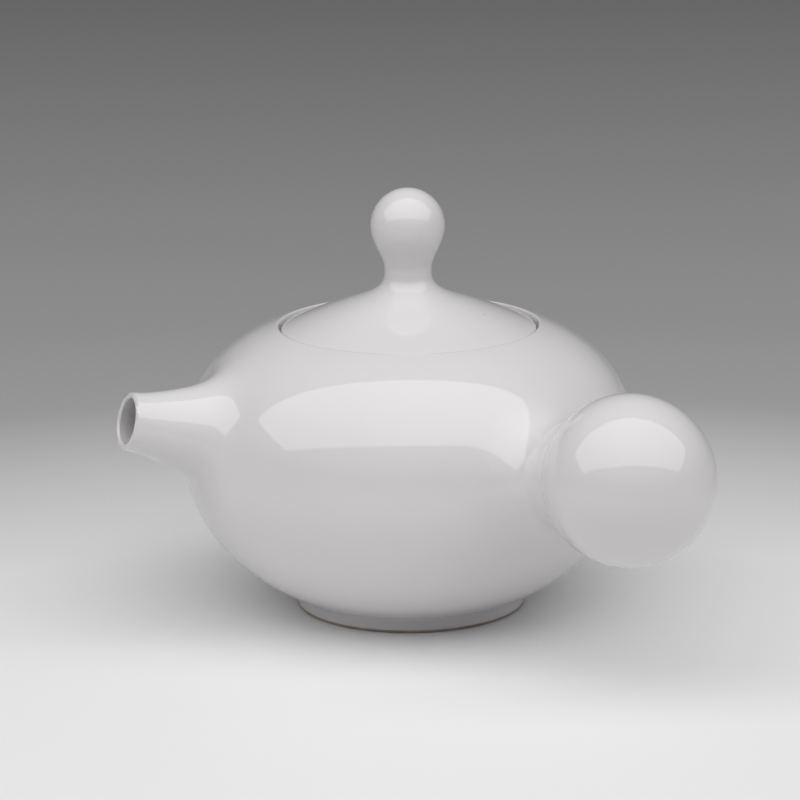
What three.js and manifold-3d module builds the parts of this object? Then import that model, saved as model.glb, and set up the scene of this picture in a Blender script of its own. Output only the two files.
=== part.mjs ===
import * as THREE from 'three';
import { mergeVertices } from 'three/addons/utils/BufferGeometryUtils.js';
import Module from 'manifold-3d';

// Side-handled porcelain teapot. Millimetres, +Z up, spout along -X.
// The pieces are turned about the pot's own axis and moved to the common frame at the end.

// body
const bodyRadius = 65;
const equatorHeight = 45;
const lowerHalf = 47.6;
const upperHalf = 42.3;
const upperPower = 2.5;
const bodyWall = 3.5;
const floorWall = 3.2;
const mouthRadius = 38;
const mouthShare = 1 - (mouthRadius / bodyRadius) ** upperPower;
const rimHeight = equatorHeight + upperHalf * mouthShare ** (1 / upperPower);

// foot
const footOuter = 33;
const footWidth = 4;
const footHeight = 4.8;
const footRounding = 0.8;

// seat of the lid
const lipWidth = 0.7;
const seatRadius = mouthRadius - lipWidth;
const seatDepth = 3.3;
const seatHeight = rimHeight - seatDepth;
const seatThickness = 3;
const ledgeWidth = 6.8;
const throatRadius = seatRadius - ledgeWidth;

// lid
const lidPlay = 0.6;
const lidEdge = 2;
const lidWall = 3.2;
const domeRise = 12.85;
const domePeak = rimHeight + domeRise;
const domeSlope = 0.279;
const domeSag = 3.43;
const flangePlay = 0.6;
const flangeWidth = 3;
const flangeDepth = 5.7;
const steamHoleRadius = 1.3;
const steamHoleReach = 22;

// knob
const knobBase = 14;
const knobWaist = 6.75;
const knobNeck = 7.86;
const knobRadius = 10.65;
const knobStem = 12.6;
const knobSweep = 3.1;
const knobBlend = 0.88;

// spout
const spoutReach = 85.5;
const spoutHeight = 62.8;
const spoutPitch = THREE.MathUtils.degToRad(13.7);
const spoutTip = 8.2;
const spoutBore = 6.5;
const spoutRoot = 29.36;
const spoutPower = 1.6;
const boreGrowth = 3.9;
const boreSpan = 20;
const borePower = 1.3;
const spoutLength = 48;
const spoutLip = 0.9;
const portRadius = 10.5;

// strainer behind the spout
const strainerRadius = 16;
const strainerWall = 2.2;
const strainerDepth = 24;
const strainerHole = 1;
const strainerRings = 3;
const strainerStep = THREE.MathUtils.degToRad(17);

// handle
const handleTurn = THREE.MathUtils.degToRad(284);
const handlePitch = THREE.MathUtils.degToRad(10);
const handleReach = 99.5;
const handleHeight = 57.2;
const ballRadius = 23.5;
const ballWall = 3;
const neckWaist = 14;
const neckWaistAt = 27;
const neckRoot = 25.6;
const neckLength = 47;
const neckBore = 9.5;
const neckStart = 18;
const ventRadius = 1.6;

const joinGap = 0.3;
const cutMargin = 5;
const roundSteps = 60;

const wasm = await Module();
wasm.setup();

// a merged closed skin that faces outward
function cleaned(geometry) {
  geometry.deleteAttribute('normal');
  geometry.deleteAttribute('uv');
  const merged = mergeVertices(geometry, 1e-4);
  const index = Array.from(merged.index.array);
  const place = merged.attributes.position;
  const kept = [];
  let volume = 0;
  const a = new THREE.Vector3();
  const b = new THREE.Vector3();
  const c = new THREE.Vector3();
  for (let i = 0; i < index.length; i += 3) {
    const [p, q, r] = index.slice(i, i + 3);
    if (p === q || q === r || r === p) continue;
    a.fromBufferAttribute(place, p);
    b.fromBufferAttribute(place, q);
    c.fromBufferAttribute(place, r);
    volume += a.dot(b.cross(c));
    kept.push([p, q, r]);
  }
  merged.setIndex(kept.flatMap(([p, q, r]) => (volume < 0 ? [p, r, q] : [p, q, r])));
  return merged;
}

function solid(geometry) {
  const skin = cleaned(geometry);
  return new wasm.Manifold(new wasm.Mesh({
    numProp: 3,
    vertProperties: new Float32Array(skin.attributes.position.array),
    triVerts: new Uint32Array(skin.index.array),
  }));
}

function skinOf(shape) {
  const mesh = shape.getMesh();
  const geometry = new THREE.BufferGeometry();
  geometry.setAttribute('position', new THREE.BufferAttribute(new Float32Array(mesh.vertProperties), 3));
  geometry.setIndex(new THREE.BufferAttribute(new Uint32Array(mesh.triVerts), 1));
  geometry.computeVertexNormals();
  return geometry;
}

// profile of [radius, height] pairs turned about Z
function turned(profile, steps = roundSteps) {
  const points = profile.map(([r, z]) => new THREE.Vector2(Math.max(r, 0), z));
  return new THREE.LatheGeometry(points, steps).rotateX(Math.PI / 2);
}

function closed(profile) {
  return [...profile, profile[0]];
}

function steps(count, from, to, point) {
  const list = [];
  for (let i = 0; i <= count; i += 1) list.push(point(from + (to - from) * i / count));
  return list;
}

function rod(radius, length, sides = 24) {
  return new THREE.CylinderGeometry(radius, radius, length, sides).rotateX(Math.PI / 2);
}

// the local axis of a spout or handle laid in its place
function toSpout(geometry) {
  return geometry.rotateY(spoutPitch - Math.PI / 2).translate(-spoutReach, 0, spoutHeight);
}

function toHandle(geometry) {
  const x = handleReach * Math.cos(handleTurn);
  const y = handleReach * Math.sin(handleTurn);
  return geometry.rotateY(Math.PI / 2 - handlePitch).rotateZ(handleTurn).translate(x, y, handleHeight);
}

// radius of the body at a height, inset from its outer face
function bodyAt(z, inset) {
  const rise = z - equatorHeight;
  if (rise < 0) {
    const share = Math.min(1, -rise / (lowerHalf - inset));
    return (bodyRadius - inset) * Math.sqrt(1 - share ** 2);
  }
  const share = Math.min(1, rise / (upperHalf - inset));
  return (bodyRadius - inset) * (1 - share ** upperPower) ** (1 / upperPower);
}

// heights that crowd toward the top and bottom of the bowl
function bowl(count, low, high, inset) {
  const lowTurn = Math.asin((low - equatorHeight) / lowerHalf);
  const highTurn = Math.asin((high - equatorHeight) / upperHalf);
  return steps(count, lowTurn, highTurn, (turn) => {
    const half = turn < 0 ? lowerHalf : upperHalf;
    const z = equatorHeight + half * Math.sin(turn);
    return [bodyAt(z, inset), z];
  });
}

function filledBody(inset, low, high) {
  return solid(turned([[0, low], ...bowl(20, low, high, inset), [0, high]]));
}

const innerFloor = footHeight + floorWall;
const seatUnder = seatHeight - seatThickness;

const bodyOutside = bowl(20, footHeight, rimHeight, 0);
const bodyInside = bowl(15, innerFloor, seatUnder, bodyWall).reverse();
const bodyShell = solid(turned([
  [0, footHeight],
  ...bodyOutside,
  [seatRadius, rimHeight],
  [seatRadius, seatHeight],
  [throatRadius, seatHeight],
  [throatRadius, seatUnder],
  ...bodyInside,
  [0, innerFloor],
]));
const portStart = spoutReach - bodyRadius - cutMargin;
const portDepth = bodyWall + 2 * cutMargin;
const portPin = rod(portRadius, portDepth, 40).translate(0, 0, -portStart - portDepth / 2);
const port = solid(toSpout(portPin));
const bodyShape = bodyShell.subtract(port);

const crown = equatorHeight + upperHalf;
const grownBody = filledBody(-joinGap, footHeight - joinGap, crown);
const cavity = filledBody(bodyWall + joinGap, innerFloor + joinGap, seatUnder - joinGap);

const footInner = footOuter - footWidth;
const footProfile = closed([
  [footInner + footRounding, 0],
  [footOuter - footRounding, 0],
  [footOuter - footRounding * 0.3, footRounding * 0.3],
  [footOuter, footRounding],
  [footOuter, footHeight],
  [footInner, footHeight],
  [footInner, footRounding],
  [footInner + footRounding * 0.3, footRounding * 0.3],
]);

function spoutOuterAt(s) {
  return spoutTip + (spoutRoot - spoutTip) * (s / spoutLength) ** spoutPower;
}

function spoutInnerAt(s) {
  return spoutBore + boreGrowth * (s / boreSpan) ** borePower;
}

const lipOuter = spoutOuterAt(spoutLip);
const lipInner = spoutInnerAt(spoutLip);
const lipMiddle = (lipOuter + lipInner) / 2;
const lipHalf = (lipOuter - lipInner) / 2;
const spoutProfile = closed([
  ...steps(14, spoutLip, spoutLength, (s) => [spoutOuterAt(s), -s]),
  ...steps(9, spoutLength, spoutLip, (s) => [spoutInnerAt(s), -s]),
  ...steps(6, Math.PI * 5 / 6, Math.PI / 6, (turn) => [
    lipMiddle + lipHalf * Math.cos(turn),
    -spoutLip * (1 - Math.sin(turn)),
  ]),
]);
const spoutShape = solid(toSpout(turned(spoutProfile, 40))).subtract(grownBody);

const dome = solid(toSpout(new THREE.SphereGeometry(strainerRadius, 24, 12).translate(0, 0, -strainerDepth)));
const domeInside = new THREE.SphereGeometry(strainerRadius - strainerWall, 24, 12);
let strainerShape = dome.subtract(solid(toSpout(domeInside.translate(0, 0, -strainerDepth))));
strainerShape = strainerShape.intersect(cavity);
for (let ring = 0; ring <= strainerRings; ring += 1) {
  const count = ring === 0 ? 1 : ring * 6;
  for (let i = 0; i < count; i += 1) {
    const pin = rod(strainerHole, strainerWall + cutMargin, 8).translate(0, 0, -strainerRadius);
    pin.rotateY(ring * strainerStep).rotateZ(2 * Math.PI * i / count).translate(0, 0, -strainerDepth);
    strainerShape = strainerShape.subtract(solid(toSpout(pin)));
  }
}

function neckAt(u) {
  const share = (u - neckWaistAt) / (neckLength - neckWaistAt);
  return neckWaist + (neckRoot - neckWaist) * share ** 2;
}

const neckProfile = closed([
  ...steps(10, neckStart, neckLength, (u) => [neckAt(u), -u]),
  [neckBore, -neckLength],
  [neckBore, -neckStart],
]);
const grownBall = solid(toHandle(new THREE.SphereGeometry(ballRadius + joinGap, 40, 24).rotateX(Math.PI / 2)));
const neckShape = solid(toHandle(turned(neckProfile, 40))).subtract(grownBody).subtract(grownBall);

const ballSkin = new THREE.SphereGeometry(ballRadius, 40, 24).rotateX(Math.PI / 2);
const ballSpace = new THREE.SphereGeometry(ballRadius - ballWall, 28, 14).rotateX(Math.PI / 2);
const ballMouth = rod(neckBore, 2 * ballWall + 2 * cutMargin, 36).translate(0, 0, -ballRadius + ballWall);
const vent = rod(ventRadius, ballWall + 2 * cutMargin, 16).rotateY(Math.PI / 2).translate(ballRadius, 0, 0);
const ballShape = solid(toHandle(ballSkin))
  .subtract(solid(toHandle(ballSpace)))
  .subtract(solid(toHandle(ballMouth)))
  .subtract(solid(toHandle(vent)));

const lidRadius = seatRadius - lidPlay;

function domeAt(r) {
  return domePeak - domeSlope * r - domeSag * (r / lidRadius) ** 2;
}

const flangeOuter = throatRadius - flangePlay;
const flangeInner = flangeOuter - flangeWidth;
const lidHollow = flangeInner - 0.4;
const knobFoot = domeAt(knobBase);
const knobWaistHeight = knobFoot + knobNeck;
const knobHeight = knobWaistHeight + knobStem;
const lidProfile = [
  [0, knobFoot - lidWall],
  ...steps(6, knobBase, lidHollow, (r) => [r, domeAt(r) - lidWall]),
  [lidHollow, seatHeight],
  [lidRadius, seatHeight],
  [lidRadius, seatHeight + lidEdge],
  ...steps(9, lidRadius - 0.5, knobBase, (r) => [r, domeAt(r)]),
  [0, knobFoot],
];
const steamPin = rod(steamHoleRadius, 2 * lidWall + 2 * cutMargin, 16);
const steamHole = solid(steamPin.translate(0, steamHoleReach, domeAt(steamHoleReach)));
const lidShape = solid(turned(lidProfile)).subtract(steamHole);

const flangeProfile = closed([
  [flangeInner, seatHeight],
  [flangeInner, seatHeight - flangeDepth + 0.8],
  [flangeInner + 0.8, seatHeight - flangeDepth],
  [flangeOuter - 0.8, seatHeight - flangeDepth],
  [flangeOuter, seatHeight - flangeDepth + 0.8],
  [flangeOuter, seatHeight],
]);

const knobProfile = [
  [0, knobFoot],
  ...steps(8, 0, 1, (t) => [
    knobWaist + (knobBase - knobWaist) * (1 - t) ** knobSweep,
    knobFoot + (knobWaistHeight - knobFoot) * t,
  ]),
  ...steps(11, 1 / 12, 1, (t) => [
    knobWaist + (knobRadius - knobWaist) * (1 - Math.cos(Math.PI * t ** knobBlend)) / 2,
    knobWaistHeight + (knobHeight - knobWaistHeight) * t,
  ]),
  ...steps(9, Math.PI / 20, Math.PI / 2, (turn) => [
    knobRadius * Math.cos(turn),
    knobHeight + knobRadius * Math.sin(turn),
  ]),
];

function porcelain() {
  return new THREE.MeshStandardMaterial({ color: 0xe8e6e4, roughness: 0.07, metalness: 0 });
}

function bareClay() {
  return new THREE.MeshStandardMaterial({ color: 0xb9a797, roughness: 0.75, metalness: 0 });
}

const pot = new THREE.Group();
pot.name = 'kyusu';

function place(name, geometry, material) {
  const piece = new THREE.Mesh(geometry, material);
  piece.name = name;
  pot.add(piece);
}

place('pot_body', skinOf(bodyShape), porcelain());
place('foot_ring', skinOf(solid(turned(footProfile))), bareClay());
place('spout', skinOf(spoutShape), porcelain());
place('strainer', skinOf(strainerShape), porcelain());
place('handle_neck', skinOf(neckShape), porcelain());
place('handle_ball', skinOf(ballShape), porcelain());
place('lid_cover', skinOf(lidShape), porcelain());
place('lid_flange', skinOf(solid(turned(flangeProfile))), porcelain());
place('lid_knob', skinOf(solid(turned(knobProfile, 40))), porcelain());

// the footprint's middle goes to the origin and the foot to the ground
const box = new THREE.Box3().setFromObject(pot);
const middle = box.getCenter(new THREE.Vector3());
pot.children.forEach((piece) => piece.geometry.translate(-middle.x, -middle.y, -box.min.z));

export default pot;
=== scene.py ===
import math
import bmesh
import bpy
import numpy as np
from mathutils import Matrix, Vector


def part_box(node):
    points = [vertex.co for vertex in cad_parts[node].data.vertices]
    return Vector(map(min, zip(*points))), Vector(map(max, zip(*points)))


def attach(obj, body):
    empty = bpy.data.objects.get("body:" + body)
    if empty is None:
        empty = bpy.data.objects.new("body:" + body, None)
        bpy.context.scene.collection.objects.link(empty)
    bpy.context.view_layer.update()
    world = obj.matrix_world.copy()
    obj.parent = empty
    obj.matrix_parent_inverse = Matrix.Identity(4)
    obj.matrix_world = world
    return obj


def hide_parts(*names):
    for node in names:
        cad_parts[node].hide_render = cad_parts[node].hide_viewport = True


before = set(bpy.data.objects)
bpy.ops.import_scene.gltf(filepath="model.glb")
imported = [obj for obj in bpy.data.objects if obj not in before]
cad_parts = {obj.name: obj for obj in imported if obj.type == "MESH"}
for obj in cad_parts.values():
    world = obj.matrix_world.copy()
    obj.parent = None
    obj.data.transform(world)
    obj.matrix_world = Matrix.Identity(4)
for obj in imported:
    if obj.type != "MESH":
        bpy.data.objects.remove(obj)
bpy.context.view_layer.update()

mm = 0.001
lowFoot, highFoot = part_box("foot_ring")
axisX = (lowFoot.x + highFoot.x) / 2
axisY = (lowFoot.y + highFoot.y) / 2
potAxis = Matrix.Translation((axisX, axisY, 0))
print("frame loaded, pot axis at", round(axisX, 4), round(axisY, 4))


class Sock:
    # one socket of a node tree, with arithmetic on it
    def __init__(self, tree, socket):
        self.tree = tree
        self.socket = socket

    def math(self, operation, other=None):
        node = self.tree.nodes.new("ShaderNodeMath")
        node.operation = operation
        self.tree.links.new(self.socket, node.inputs[0])
        if isinstance(other, Sock):
            self.tree.links.new(other.socket, node.inputs[1])
        elif other is not None:
            node.inputs[1].default_value = other
        return Sock(self.tree, node.outputs[0])

    def __add__(self, other): return self.math("ADD", other)
    def __radd__(self, other): return self.math("ADD", other)
    def __mul__(self, other): return self.math("MULTIPLY", other)
    def __rmul__(self, other): return self.math("MULTIPLY", other)
    def __sub__(self, other): return self.math("SUBTRACT", other)
    def __rsub__(self, other): return (self * -1.0) + other


class Finish:
    # a material with one shader, and a method that adds any node
    def __init__(self, name):
        self.material = bpy.data.materials.new(name)
        self.material.use_nodes = True
        self.tree = self.material.node_tree
        self.shader = self.tree.nodes["Principled BSDF"]

    def node(self, kind, settings=None, sockets=None, out=0):
        made = self.tree.nodes.new(kind)
        for key, value in (settings or {}).items():
            if key == "stops":
                ramp = made.color_ramp
                while len(ramp.elements) < len(value):
                    ramp.elements.new(0.5)
                for element, (at, colour) in zip(ramp.elements, value):
                    element.position = at
                    element.color = colour
            else:
                setattr(made, key, value)
        for key, value in (sockets or {}).items():
            if isinstance(value, Sock):
                self.tree.links.new(value.socket, made.inputs[key])
            else:
                made.inputs[key].default_value = value
        return Sock(self.tree, made.outputs[out])

    def feed(self, name, value):
        if isinstance(value, Sock):
            self.tree.links.new(value.socket, self.shader.inputs[name])
        else:
            self.shader.inputs[name].default_value = value


glaze = {
    "white": (0.725, 0.705, 0.715, 1),
    "pooled": (0.70, 0.683, 0.692, 1),   # where the glaze lies thicker
    "speck": (0.42, 0.37, 0.32, 1),
    "roughness": 0.035,
    "ripple": 0.00035,
    "specular": 0.62,
}


def glazeFinish():
    made = Finish("glazedPorcelain")
    place = made.node("ShaderNodeTexCoord", out=3)
    cloud = made.node("ShaderNodeTexNoise", sockets={"Vector": place, "Scale": 28.0, "Detail": 3.0})
    tint = made.node("ShaderNodeValToRGB", {"stops": [(0.35, glaze["white"]), (0.75, glaze["pooled"])]}, {"Fac": cloud})
    dots = made.node("ShaderNodeTexVoronoi", {"feature": "F1"}, {"Vector": place, "Scale": 95.0})
    rare = made.node("ShaderNodeTexNoise", sockets={"Vector": place, "Scale": 61.0, "Detail": 0.0})
    isDot = dots.math("LESS_THAN", 0.035) * rare.math("GREATER_THAN", 0.62)
    colour = made.node("ShaderNodeMix", {"data_type": "RGBA"}, {0: isDot * 0.6, 6: tint, 7: glaze["speck"]}, out=2)
    made.feed("Base Color", colour)
    made.feed("Roughness", cloud * 0.02 + glaze["roughness"])
    ripple = made.node("ShaderNodeTexNoise", sockets={"Vector": place, "Scale": 46.0, "Detail": 1.0})
    bump = made.node("ShaderNodeBump", sockets={"Strength": 0.25, "Distance": glaze["ripple"], "Height": ripple})
    made.feed("Normal", bump)
    made.feed("IOR", 1.52)
    return made.material


bare = {
    "clay": (0.42, 0.35, 0.29, 1),
    "scorched": (0.27, 0.20, 0.15, 1),
    "grain": 0.0004,
}


def bareFinish():
    made = Finish("bareFootClay")
    place = made.node("ShaderNodeTexCoord", out=3)
    cloud = made.node("ShaderNodeTexNoise", sockets={"Vector": place, "Scale": 120.0, "Detail": 4.0})
    colour = made.node("ShaderNodeValToRGB", {"stops": [(0.3, bare["scorched"]), (0.6, bare["clay"])]}, {"Fac": cloud})
    made.feed("Base Color", colour)
    made.feed("Roughness", cloud * 0.2 + 0.65)
    grain = made.node("ShaderNodeTexNoise", sockets={"Vector": place, "Scale": 900.0, "Detail": 3.0})
    made.feed("Normal", made.node("ShaderNodeBump", sockets={"Strength": 0.5, "Distance": bare["grain"], "Height": grain}))
    return made.material


glazeMaterial = glazeFinish()
bareMaterial = bareFinish()
print("finishes made")


def steps(count, start, end, point):
    return [point(start + (end - start) * i / count) for i in range(count + 1)]


def turned(name, profile, where, sides=192, loop=False):
    # a profile of (radius, height) in millimetres turned about its own Z
    points, rings, faces = [], [], []
    for r, z in profile:
        if r < 1e-6:
            rings.append([len(points)] * sides)
            points.append((0, 0, z * mm))
            continue
        rings.append(list(range(len(points), len(points) + sides)))
        for i in range(sides):
            turn = 2 * math.pi * i / sides
            points.append((r * mm * math.cos(turn), r * mm * math.sin(turn), z * mm))
    pairs = list(zip(rings, rings[1:] + rings[:1])) if loop else list(zip(rings, rings[1:]))
    for low, high in pairs:
        for i in range(sides):
            j = (i + 1) % sides
            face = []
            for corner in (low[i], low[j], high[j], high[i]):
                if corner not in face:
                    face.append(corner)
            if len(face) > 2:
                faces.append(face)
    mesh = bpy.data.meshes.new(name)
    mesh.from_pydata(points, [], faces)
    mesh.transform(where)
    mesh.shade_smooth()
    made = bpy.data.objects.new(name, mesh)
    bpy.context.scene.collection.objects.link(made)
    return made


def finishPiece(piece, material, slotName, body, *nodes):
    piece.data.materials.append(material)
    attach(piece, body)
    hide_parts(*nodes)


bowl = {
    "radius": 65, "equator": 45, "lower": 47.6, "upper": 42.3, "power": 2.5, "wall": 3.5,
    "foot": 4.8, "floor": 8.0, "rim": 82.47, "seatRadius": 37.3, "seat": 79.17, "under": 76.17, "throat": 30.5,
}


def bowlAt(z, inset):
    rise = z - bowl["equator"]
    if rise < 0:
        return (bowl["radius"] - inset) * math.sqrt(max(0, 1 - (rise / (bowl["lower"] - inset)) ** 2))
    share = min(1, rise / (bowl["upper"] - inset))
    return (bowl["radius"] - inset) * (1 - share ** bowl["power"]) ** (1 / bowl["power"])


def bowlCurve(count, low, high, inset):
    first = math.asin((low - bowl["equator"]) / bowl["lower"])
    last = math.asin((high - bowl["equator"]) / bowl["upper"])

    def point(turn):
        z = bowl["equator"] + (bowl["lower"] if turn < 0 else bowl["upper"]) * math.sin(turn)
        return bowlAt(z, inset), z
    return steps(count, first, last, point)


foot = {"outer": 33, "inner": 29, "height": 4.8, "round": 0.8, "bare": 1.0, "fillet": 1.8}


def makeFoot():
    # glazed above, with a bare edge where it stands
    o, i, h, r = foot["outer"], foot["inner"], foot["height"], foot["round"]
    bareTop, fillet = foot["bare"], foot["fillet"]
    edge = [(i, bareTop)] + steps(8, math.pi, 1.5 * math.pi, lambda t: (i + r + r * math.cos(t), r + r * math.sin(t)))
    edge += steps(8, -math.pi / 2, 0, lambda t: (o - r + r * math.cos(t), r + r * math.sin(t))) + [(o, bareTop)]
    piece = turned("foot_bare_edge", edge, potAxis, 224, loop=True)
    finishPiece(piece, bareMaterial, "bare_porcelain", "pot", "foot_ring")
    wall = [(i - 0.05, bareTop - 0.05), (o + 0.05, bareTop - 0.05), (o + 0.12, bareTop + 0.15)]
    wall += steps(16, math.pi, 0.5 * math.pi,
                  lambda t: (o + 0.12 + fillet + fillet * math.cos(t), h + 0.15 - fillet + fillet * math.sin(t)))
    wall += [(i - 0.05, h + 0.15)]
    piece = turned("foot_glazed_wall", wall, potAxis, 224, loop=True)
    piece.data.set_sharp_from_angle(angle=math.radians(40))
    finishPiece(piece, glazeMaterial, "glazed_porcelain", "pot", "foot_ring")


spout = {
    "reach": 85.5, "height": 62.8, "pitch": 13.7, "tip": 8.2, "bore": 6.5, "flare": 0.0432, "power": 1.6,
    "growth": 3.9, "span": 20, "borePower": 1.3, "length": 56, "spread": 32.0,
}


handle = {
    "turn": 284, "pitch": 10, "reach": 99.5, "height": 57.2, "ball": 23.5, "waist": 14, "waistAt": 27,
    "flare": 0.029, "length": 60, "spread": 11.0,
}


skin = {"cell": 1.0, "spoutBlend": 9.0, "neckBlend": 12.0, "ballBlend": 4.0, "lipBlend": 1.3, "relax": 6}


def spoutPlace():
    where = potAxis @ Matrix.Translation((-spout["reach"] * mm, 0, spout["height"] * mm))
    return where @ Matrix.Rotation(math.radians(spout["pitch"] - 90), 4, "Y")


def along(points, reach, height, turn, pitch):
    # distance back along a tilted axis, and distance from it
    a, p = math.radians(turn), math.radians(pitch)
    way = np.array((math.cos(p) * math.cos(a), math.cos(p) * math.sin(a), math.sin(p)))
    start = np.array((reach * math.cos(a), reach * math.sin(a), height))
    gap = points - start
    back = -(gap @ way)
    side = np.sqrt(np.maximum((gap ** 2).sum(-1) - back ** 2, 0))
    return back, side


def merged(first, second, width):
    share = np.maximum(width - np.abs(first - second), 0) / width
    return np.minimum(first, second) - share ** 3 * width / 6


def bowlGap(points):
    side = np.hypot(points[..., 0], points[..., 1])
    rise = points[..., 2] - bowl["equator"]
    half = np.where(rise < 0, bowl["lower"], bowl["upper"])
    power = np.where(rise < 0, 2.0, bowl["power"])
    u = np.maximum(side / bowl["radius"], 1e-6)
    v = np.maximum(np.abs(rise) / half, 1e-6)
    q = (u ** power + v ** power) ** (1 / power)
    slope = q ** (1 - power) * np.hypot(u ** (power - 1) / bowl["radius"], v ** (power - 1) / half)
    return (q - 1) / slope


def spoutGap(points):
    back, side = along(points, spout["reach"], spout["height"], 180, spout["pitch"])
    run = np.maximum(back, 0)
    growth = spout["flare"] * run ** spout["power"]
    ease = np.exp(-growth / spout["spread"])
    radius = spout["tip"] + spout["spread"] * (1 - ease)
    slope = spout["flare"] * spout["power"] * run ** (spout["power"] - 1) * ease
    wall = (side - radius) / np.sqrt(1 + slope ** 2)
    tip = -merged(-wall, back, skin["lipBlend"])
    return np.maximum(tip, back - spout["length"])


def neckGap(points):
    back, side = along(points, handle["reach"], handle["height"], handle["turn"], handle["pitch"])
    run = np.maximum(back - handle["waistAt"], -6)
    ease = np.exp(-handle["flare"] * run ** 2 / handle["spread"])
    radius = handle["waist"] + handle["spread"] * (1 - ease)
    wall = (side - radius) / np.sqrt(1 + (2 * handle["flare"] * run * ease) ** 2)
    return np.maximum(wall, np.maximum(10 - back, back - handle["length"]))


def ballGap(points):
    a = math.radians(handle["turn"])
    middle = (handle["reach"] * math.cos(a), handle["reach"] * math.sin(a), handle["height"])
    return np.sqrt(((points - np.array(middle)) ** 2).sum(-1)) - handle["ball"]


def potGap(points):
    grip = merged(ballGap(points), neckGap(points), skin["ballBlend"])
    pot = merged(bowlGap(points), spoutGap(points), skin["spoutBlend"])
    return merged(pot, grip, skin["neckBlend"])


def slopeOf(points):
    step = 0.02
    parts = []
    for axis in range(3):
        shift = np.zeros(3)
        shift[axis] = step
        parts.append((potGap(points + shift) - potGap(points - shift)) / (2 * step))
    return np.stack(parts, -1)


def onSkin(points, rounds=3):
    for _ in range(rounds):
        slope = slopeOf(points)
        points = points - slope * (potGap(points) / np.maximum((slope ** 2).sum(-1), 1e-9))[:, None]
    return points


def skinMesh():
    # one closed skin over the bowl, spout, neck and ball
    cell = skin["cell"]
    low = np.array((-90.0, -128.0, -8.0))
    count = np.ceil((np.array((72.0, 72.0, 96.0)) - low) / cell).astype(int)
    lines = [low[i] + cell * np.arange(count[i]) for i in range(3)]
    field = np.stack([potGap(np.stack(np.meshgrid(lines[0], lines[1], [z], indexing="ij"), -1))[..., 0]
                      for z in lines[2]], -1)
    inside = field < 0
    n = np.array(field.shape) - 1
    corners = np.array([(a, b, c) for a in (0, 1) for b in (0, 1) for c in (0, 1)])
    total = sum(inside[a:a + n[0], b:b + n[1], c:c + n[2]].astype(int) for a, b, c in corners)
    active = (total > 0) & (total < 8)
    cells = np.argwhere(active)
    ids = np.full(active.shape, -1)
    ids[active] = np.arange(len(cells))
    sums, hits = np.zeros((len(cells), 3)), np.zeros(len(cells))
    for a in corners:
        for axis in range(3):
            if a[axis]:
                continue
            b = a.copy()
            b[axis] = 1
            fa = field[tuple((cells + a).T)]
            fb = field[tuple((cells + b).T)]
            cross = (fa < 0) != (fb < 0)
            share = fa[cross] / (fa[cross] - fb[cross])
            sums[cross] += a + share[:, None] * (b - a)
            hits[cross] += 1
    points = low + cell * (cells + sums / hits[:, None])
    faces = []
    for axis in range(3):
        u, v = (axis + 1) % 3, (axis + 2) % 3
        ahead = np.roll(inside, -1, axis)
        change = inside != ahead
        spots = np.argwhere(change)
        keep = (spots[:, axis] < n[axis]) & (spots[:, u] > 0) & (spots[:, v] > 0)
        keep &= (spots[:, u] < n[u]) & (spots[:, v] < n[v])
        spots = spots[keep]
        stepU, stepV = np.zeros(3, int), np.zeros(3, int)
        stepU[u], stepV[v] = 1, 1
        ring = [spots, spots - stepU, spots - stepU - stepV, spots - stepV]
        quad = np.stack([ids[tuple(r.T)] for r in ring], -1)
        out = inside[tuple(spots.T)]
        quad[~out] = quad[~out][:, ::-1]
        faces.append(quad)
    faces = np.concatenate(faces)
    points = onSkin(points)
    for _ in range(skin["relax"]):
        total, near = np.zeros_like(points), np.zeros(len(points))
        for k in range(4):
            for other in (1, 3):
                np.add.at(total, faces[:, k], points[faces[:, (k + other) % 4]])
                np.add.at(near, faces[:, k], 1)
        points = onSkin(points * 0.4 + 0.6 * total / near[:, None], 2)
    return points, faces


def plainObject(name, points, faces):
    mesh = bpy.data.meshes.new(name)
    mesh.from_pydata(points, [], faces)
    mesh.transform(potAxis)
    made = bpy.data.objects.new(name, mesh)
    bpy.context.scene.collection.objects.link(made)
    return made


def cutAway(piece, cutter):
    cut = piece.modifiers.new("cut", "BOOLEAN")
    cut.operation = "DIFFERENCE"
    cut.solver = "EXACT"
    cut.object = cutter
    bpy.context.view_layer.update()
    shape = bpy.data.meshes.new_from_object(piece.evaluated_get(bpy.context.evaluated_depsgraph_get()))
    piece.modifiers.clear()
    piece.data = shape
    bpy.data.objects.remove(cutter)


def facingOut(made):
    # turns a cutter's faces outward when its profile ran the other way
    work = bmesh.new()
    work.from_mesh(made.data)
    if work.calc_volume(signed=True) < 0:
        bmesh.ops.reverse_faces(work, faces=work.faces)
    work.to_mesh(made.data)
    work.free()
    return made


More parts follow.
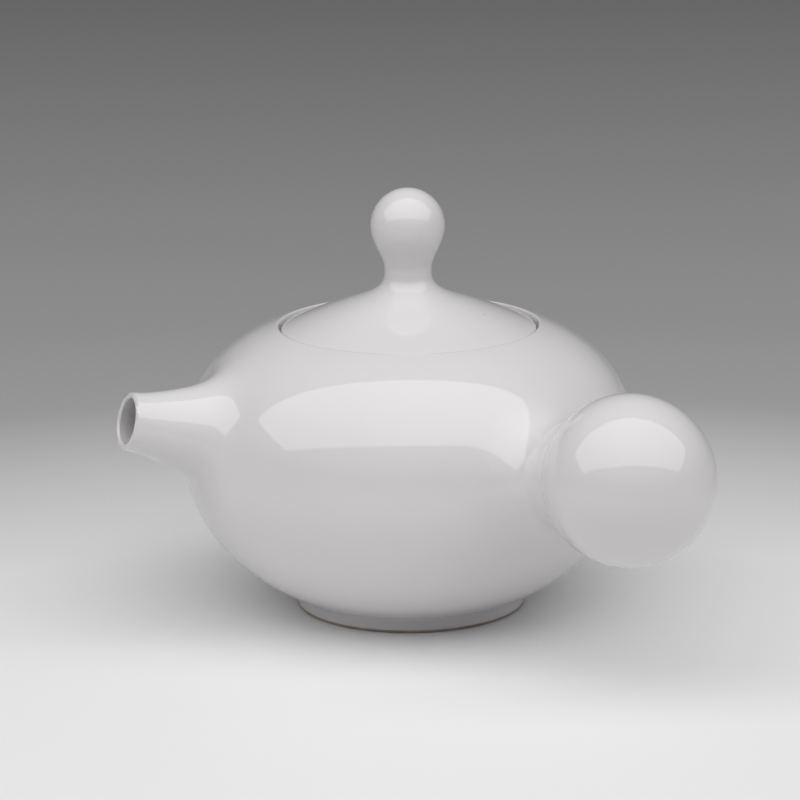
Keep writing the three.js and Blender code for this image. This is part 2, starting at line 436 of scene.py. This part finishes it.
def makePot():
    points, faces = skinMesh()
    piece = facingOut(plainObject("pot_body_spout_handle", (points * mm).tolist(), faces.tolist()))
    print("skin", len(points), "points")
    lip = bowl["seatRadius"] + 0.3
    hollow = [(0, bowl["floor"])] + bowlCurve(60, bowl["floor"], bowl["under"], bowl["wall"])
    hollow += [(bowl["throat"], bowl["under"]), (bowl["throat"], bowl["seat"]), (bowl["seatRadius"], bowl["seat"])]
    hollow += steps(8, 0, math.pi / 2, lambda t: (lip - 0.3 * math.cos(t), bowl["rim"] - 0.3 + 0.3 * math.sin(t)))
    hollow += [(60, bowl["rim"] + 0.02), (60, 100), (0, 100)]
    cutAway(piece, facingOut(turned("mouthCut", hollow, potAxis, 256)))
    cutAway(piece, facingOut(turned("footCut", [(0, -20), (70, -20), (70, bowl["foot"]), (0, bowl["foot"])], potAxis, 128)))
    bore = lambda s: (spout["bore"] + spout["growth"] * (max(s, 0) / spout["span"]) ** spout["borePower"], -s)
    channel = [(0, 5), (spout["bore"] + 1.2, 5)]
    channel += steps(10, math.pi / 2, 0, lambda t: (spout["bore"] + 0.75 * (1 - math.cos(t)), -0.75 * (1 - math.sin(t))))
    channel += steps(30, 0.8, 29, bore) + [(0, -29)]
    cutAway(piece, facingOut(turned("boreCut", channel, spoutPlace(), 160)))
    piece.data.shade_smooth()
    piece.data.set_sharp_from_angle(angle=math.radians(32))
    piece.data.materials.clear()
    finishPiece(piece, glazeMaterial, "glazed_porcelain", "pot", "pot_body", "spout", "handle_neck", "handle_ball")


lid = {
    "radius": 36.7, "edge": 2.0, "wall": 3.2, "peak": 95.32, "slope": 0.279, "bend": 0.00255, "base": 14,
    "hollow": 26.5, "flangeOuter": 29.9, "flangeInner": 26.9, "flangeDepth": 5.7, "steam": 1.3, "steamReach": 22, "roll": 1.7,
    "waist": 6.75, "waistHeight": 98.78, "ball": 10.65, "ballHeight": 111.38, "sweep": 3.1, "blend": 0.88,
}


def makeLid():
    seat = bowl["seat"]
    dome = lambda r: lid["peak"] - lid["slope"] * r - lid["bend"] * r ** 2
    foot = dome(lid["base"])
    profile = [(0, foot - lid["wall"])]
    profile += steps(20, lid["base"], lid["hollow"], lambda r: (r, dome(r) - lid["wall"]))
    profile += [(lid["hollow"], seat), (lid["radius"], seat)]
    roll = lid["roll"]
    lean = math.atan(lid["slope"] + 2 * lid["bend"] * (lid["radius"] - roll))
    corner = lid["radius"] - roll
    start = corner + roll * math.sin(lean)
    profile += steps(14, 0, math.pi / 2 - lean,
                     lambda t: (corner + roll * math.cos(t), dome(start) - roll * math.cos(lean) + roll * math.sin(t)))
    profile += steps(60, start - 0.4, lid["base"], lambda r: (r, dome(r)))
    profile += steps(34, 0.02, 1, lambda t: (lid["waist"] + (lid["base"] - lid["waist"]) * (1 - t) ** lid["sweep"],
                                             foot + (lid["waistHeight"] - foot) * t))
    profile += steps(40, 0.02, 1, lambda t: (
        lid["waist"] + (lid["ball"] - lid["waist"]) * (1 - math.cos(math.pi * t ** lid["blend"])) / 2,
        lid["waistHeight"] + (lid["ballHeight"] - lid["waistHeight"]) * t))
    profile += steps(40, 0.03, math.pi / 2,
                     lambda t: (lid["ball"] * math.cos(t) if t < 1.5707 else 0, lid["ballHeight"] + lid["ball"] * math.sin(t)))
    piece = facingOut(turned("lid_dome_and_knob", profile, potAxis, 256))
    hole = [(0, -8), (lid["steam"], -8), (lid["steam"], -0.1), (lid["steam"] + 0.5, 0.35), (lid["steam"] + 0.5, 4), (0, 4)]
    where = potAxis @ Matrix.Translation((0, lid["steamReach"] * mm, dome(lid["steamReach"]) * mm))
    cutAway(piece, facingOut(turned("steamCut", hole, where, 48)))
    piece.data.shade_smooth()
    piece.data.set_sharp_from_angle(angle=math.radians(35))
    piece.data.materials.clear()
    finishPiece(piece, glazeMaterial, "glazed_porcelain", "lid", "lid_cover", "lid_knob")

    i, o, low = lid["flangeInner"], lid["flangeOuter"], seat - lid["flangeDepth"]
    ring = [(i, seat), (i, low + 0.8), (i + 0.8, low), (o - 0.8, low), (o, low + 0.8), (o, seat)]
    piece = turned("lid_locating_ring", ring, potAxis, 192, loop=True)
    finishPiece(piece, glazeMaterial, "glazed_porcelain", "lid", "lid_flange")


makePot()
makeFoot()
makeLid()
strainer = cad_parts["strainer"]
strainer.data.materials.clear()
strainer.data.materials.append(glazeMaterial)
print("pieces made")

studio = {
    "floorSize": 8.0, "world": (0.80, 0.80, 0.82, 1), "worldStrength": 0.10, "paintedLightReach": 1.6,
    # floor colour stops: a painted pool of light, pale near the pot and darker further off where the softbox light
    # would fall away
    "floorPaintedLightStops": [(0.125, (0.86, 0.86, 0.86, 1)), (0.1625, (0.70, 0.70, 0.70, 1)), (0.2375, (0.42, 0.42, 0.42, 1)),
                   (0.3125, (0.40, 0.40, 0.40, 1)), (0.86, (0.46, 0.46, 0.46, 1))],
    "paintedLightShift": 0.13,
    "azimuth": -22.0, "elevation": 14.0, "distance": 1.1, "lens": 172.0, "aimHeight": 0.060, "aimRight": -0.0027,
    "roll": 0.6,
}


def makeFloor():
    mesh = bpy.data.meshes.new("studio_floor")
    n, half = 24, studio["floorSize"] / 2
    points = [(-half + 2 * half * i / n, -half + 2 * half * j / n, 0) for j in range(n + 1) for i in range(n + 1)]
    faces = [(j * (n + 1) + i, j * (n + 1) + i + 1, (j + 1) * (n + 1) + i + 1, (j + 1) * (n + 1) + i)
             for j in range(n) for i in range(n)]
    mesh.from_pydata(points, [], faces)
    floor = bpy.data.objects.new("studio_floor", mesh)
    bpy.context.scene.collection.objects.link(floor)
    made = Finish("floorPaintedLightPool")
    # painted light: the floor colour is pale around a point just in front of the pot and greys with distance, a painted
    # pool of softbox light and its falloff
    place = made.node("ShaderNodeTexCoord", out=3)
    turn, shift = math.radians(studio["azimuth"]), studio["paintedLightShift"]
    paintedLightMiddle = (axisX + shift * math.sin(turn), axisY - shift * math.cos(turn), 0)
    away = made.node("ShaderNodeVectorMath", {"operation": "DISTANCE"}, {0: place, 1: paintedLightMiddle}, out=1)
    colour = made.node("ShaderNodeValToRGB", {"stops": studio["floorPaintedLightStops"]}, {"Fac": away * (1 / studio["paintedLightReach"])})
    made.feed("Base Color", colour)
    made.feed("Roughness", 0.6)
    floor.data.materials.append(made.material)


def softbox(name, azimuth, elevation, distance, width, height, power):
    light = bpy.data.lights.new(name, "AREA")
    light.shape = "RECTANGLE"
    light.size, light.size_y, light.energy = width, height, power
    a, e = math.radians(azimuth), math.radians(elevation)
    back = Vector((math.sin(a) * math.cos(e), -math.cos(a) * math.cos(e), math.sin(e)))
    made = bpy.data.objects.new(name, light)
    made.location = Vector((axisX, axisY, 0.06)) + back * distance
    made.rotation_euler = back.to_track_quat("Z", "Y").to_euler()
    bpy.context.scene.collection.objects.link(made)


def makeCamera():
    a, e, r = (math.radians(studio[k]) for k in ("azimuth", "elevation", "roll"))
    back = Vector((math.sin(a) * math.cos(e), -math.cos(a) * math.cos(e), math.sin(e)))
    right = Vector((math.cos(a), math.sin(a), 0))
    up = back.cross(right)
    rolledUp = up * math.cos(r) + right * math.sin(r)
    rolledRight = right * math.cos(r) - up * math.sin(r)
    aim = Vector((axisX, axisY, studio["aimHeight"])) + right * studio["aimRight"]
    data = bpy.data.cameras.new("view")
    data.lens = studio["lens"]
    data.sensor_width = 36
    data.clip_start, data.clip_end = 0.01, 50
    camera = bpy.data.objects.new("view", data)
    spot = aim + back * studio["distance"]
    turn = Matrix((rolledRight, rolledUp, back)).transposed().to_4x4()
    camera.matrix_world = Matrix.Translation(spot) @ turn
    bpy.context.scene.collection.objects.link(camera)
    bpy.context.scene.camera = camera


def makeWorld():
    world = bpy.data.worlds.new("studio")
    world.use_nodes = True
    background = world.node_tree.nodes["Background"]
    background.inputs["Color"].default_value = studio["world"]
    background.inputs["Strength"].default_value = studio["worldStrength"]
    bpy.context.scene.world = world
    bpy.context.scene.view_settings.view_transform = "Standard"


makeFloor()
makeWorld()
softbox("overhead_box", -22, 66, 0.95, 4.4, 1.3, 30.5)
makeCamera()
print("studio made")
